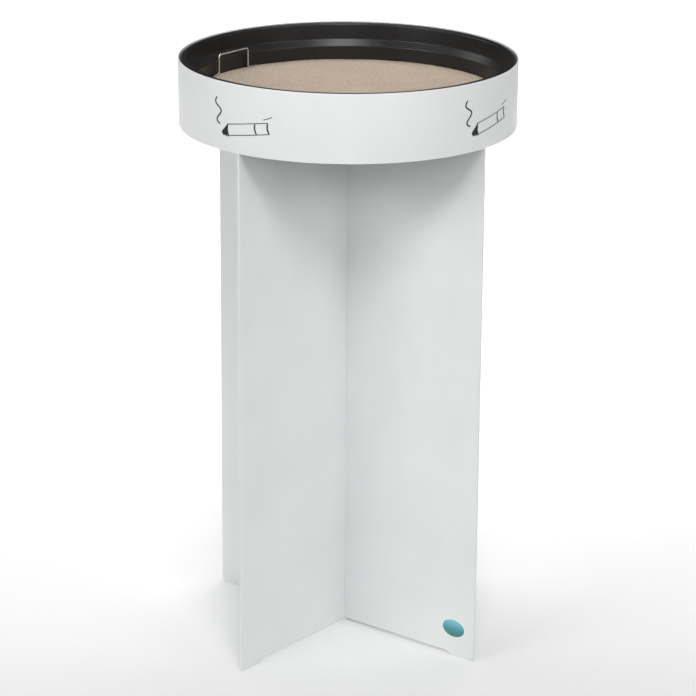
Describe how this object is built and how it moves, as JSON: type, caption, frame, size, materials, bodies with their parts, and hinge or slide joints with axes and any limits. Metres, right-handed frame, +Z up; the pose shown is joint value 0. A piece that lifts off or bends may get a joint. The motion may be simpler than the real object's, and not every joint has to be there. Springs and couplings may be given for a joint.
{
  "type": "standing sand ashtray",
  "caption": "Standing sand ashtray: cross of slotted steel panels, round collar, lift-out plastic bowl, wire sieve with handles under the sand.",
  "frame": {"origin": "on the floor at the middle of the cross that the two panels make", "axes": "+Z up; +X and +Y along the two panels; the oval label is near the +X panel's outer edge, on its -Y face"},
  "size_m": [0.4004, 0.4004, 0.72],
  "materials": {
    "powder_coat_white": "white powder coat, satin, faint orange peel",
    "bowl_black": "black moulded plastic with a fine leather grain",
    "quartz_sand": "dry pale beige sand, matte",
    "bright_wire": "bright zinc plated steel wire",
    "vinyl_black": "thin black film, satin",
    "label_teal": "clear domed resin over a teal print"
  },
  "bodies": {
    "stand": {"stand_panel_x": "powder_coat_white", "stand_panel_y": "powder_coat_white", "cross_welds": "powder_coat_white", "collar_band": "powder_coat_white", "collar_seam": "powder_coat_white", "collar_welds": "powder_coat_white", "sign_right": "vinyl_black", "sign_back": "vinyl_black", "sign_left": "vinyl_black", "sign_front": "vinyl_black", "maker_label": "label_teal"},
    "bowl": {"ash_bowl": "bowl_black"},
    "sieve": {"sand_fill": "quartz_sand", "sieve_rim_wire": "bright_wire", "sieve_base_ring": "bright_wire", "sieve_stays": "bright_wire", "sieve_mesh_x": "bright_wire", "sieve_mesh_y": "bright_wire", "sieve_handle_left": "bright_wire", "sieve_handle_right": "bright_wire"}
  },
  "joints": [
    {"name": "bowl_lift", "type": "slide", "parent": "stand", "child": "bowl", "axis": [0, 0, 1], "range_m": [0, 0.12]},
    {"name": "sieve_lift", "type": "slide", "parent": "bowl", "child": "sieve", "axis": [0, 0, 1], "range_m": [0, 0.1]}
  ]
}
